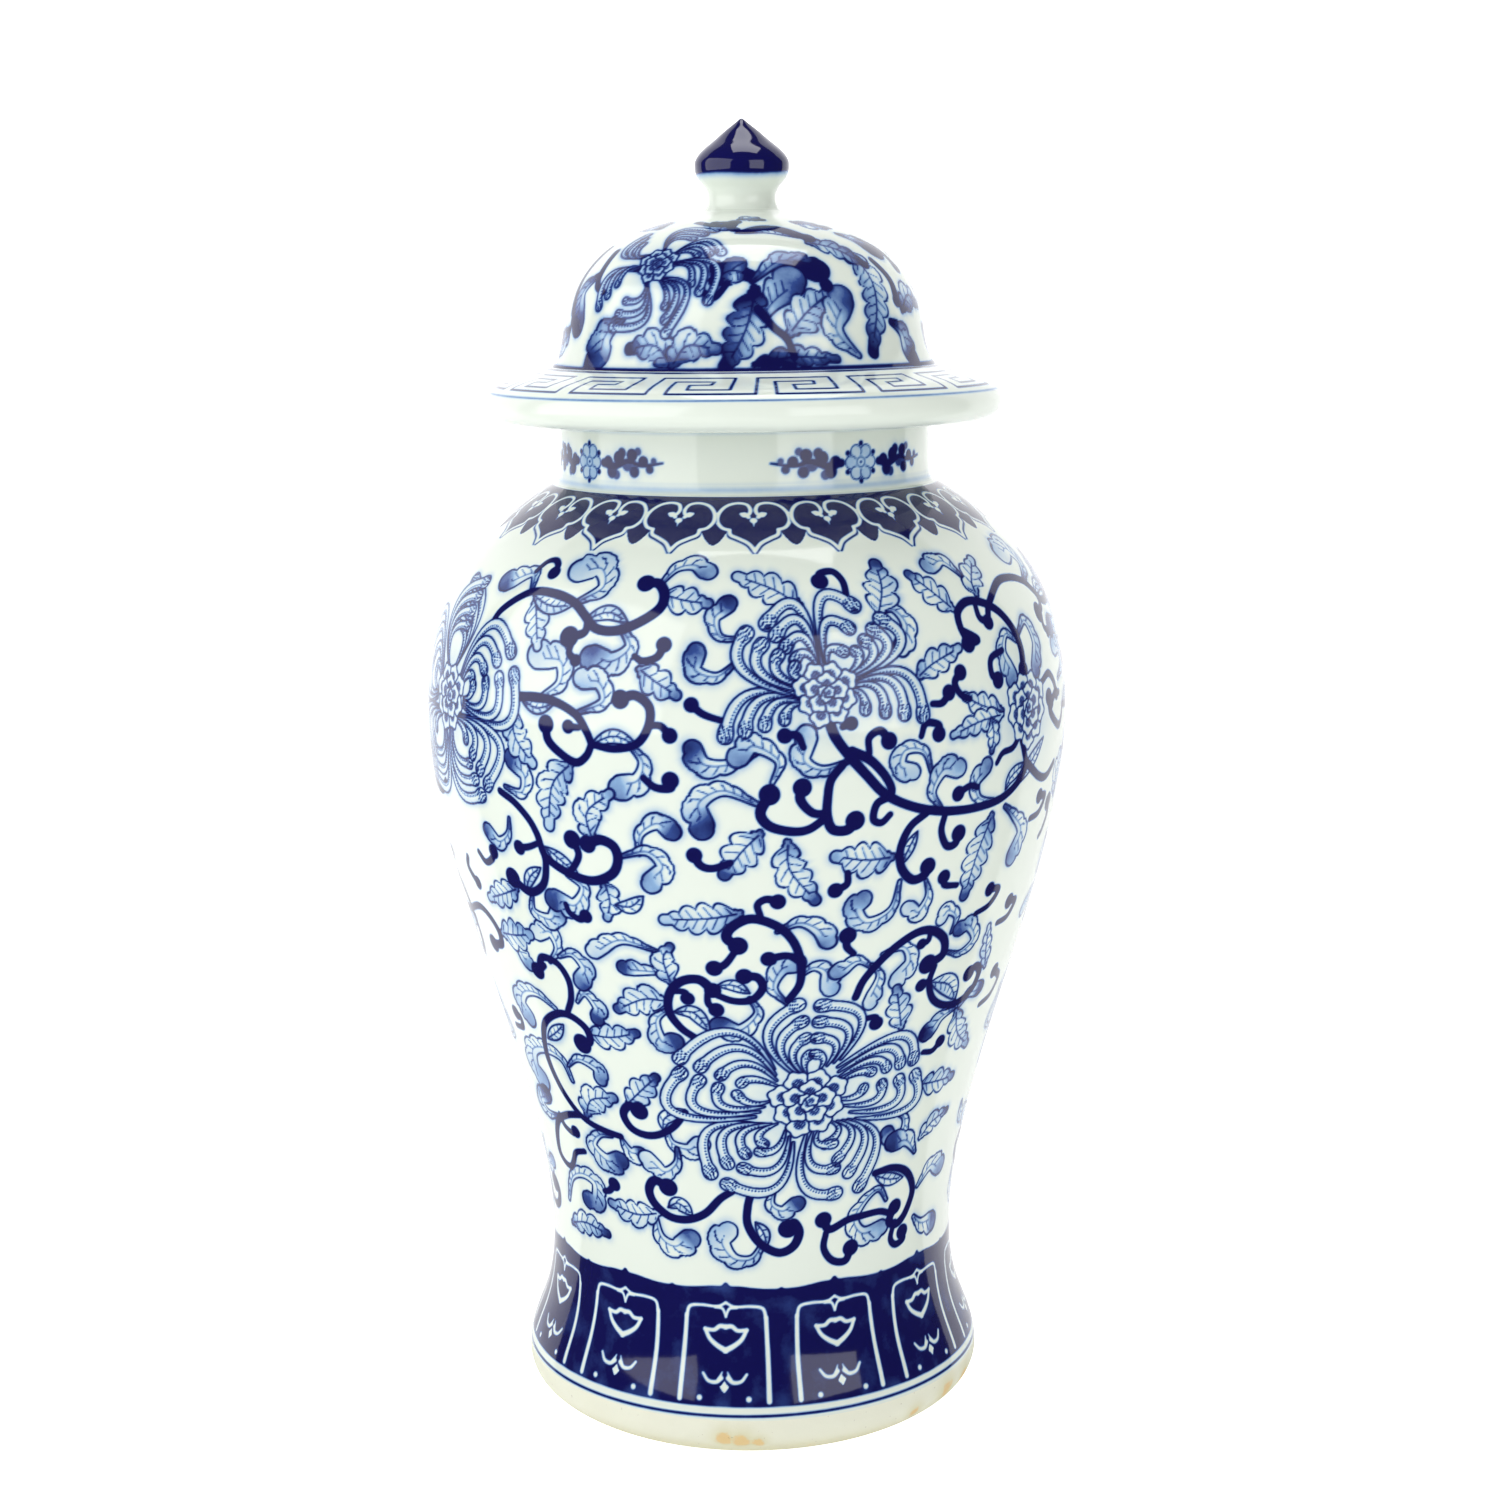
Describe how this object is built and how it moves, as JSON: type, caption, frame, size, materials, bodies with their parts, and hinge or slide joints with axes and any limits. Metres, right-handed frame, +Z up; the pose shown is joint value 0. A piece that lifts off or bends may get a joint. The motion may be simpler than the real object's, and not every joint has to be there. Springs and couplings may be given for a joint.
{
  "type": "lidded temple jar",
  "caption": "Tall porcelain jar with a round shoulder, waisted base and short neck, closed by a domed lift-off lid with a bud knob and a locating ring.",
  "frame": {"origin": "centre of the foot ring, on the surface that the jar stands on", "axes": "+Z up along the jar's axis of turning; -Y towards the painted front"},
  "size_m": [0.2284, 0.2284, 0.46],
  "materials": {
    "painted_porcelain": "white porcelain painted in cobalt under a clear gloss glaze",
    "white_glaze": "plain white porcelain under a clear gloss glaze",
    "cobalt_glaze": "solid dark cobalt under a clear gloss glaze",
    "bare_clay": "unglazed porcelain, fired cream with rust stains"
  },
  "bodies": {
    "jar": {"foot_ring": "bare_clay", "jar_floor": "bare_clay", "flared_base": "painted_porcelain", "lower_body": "painted_porcelain", "upper_body": "painted_porcelain", "shoulder": "painted_porcelain", "neck": "painted_porcelain"},
    "lid": {"lid_brim": "painted_porcelain", "lid_locating_ring": "bare_clay", "lid_dome": "painted_porcelain", "knob_collar": "white_glaze", "knob_tip": "cobalt_glaze"}
  },
  "joints": [
    {"name": "lid_lift", "type": "slide", "parent": "jar", "child": "lid", "axis": [0, 0, 1], "range_m": [0, 0.15]}
  ]
}
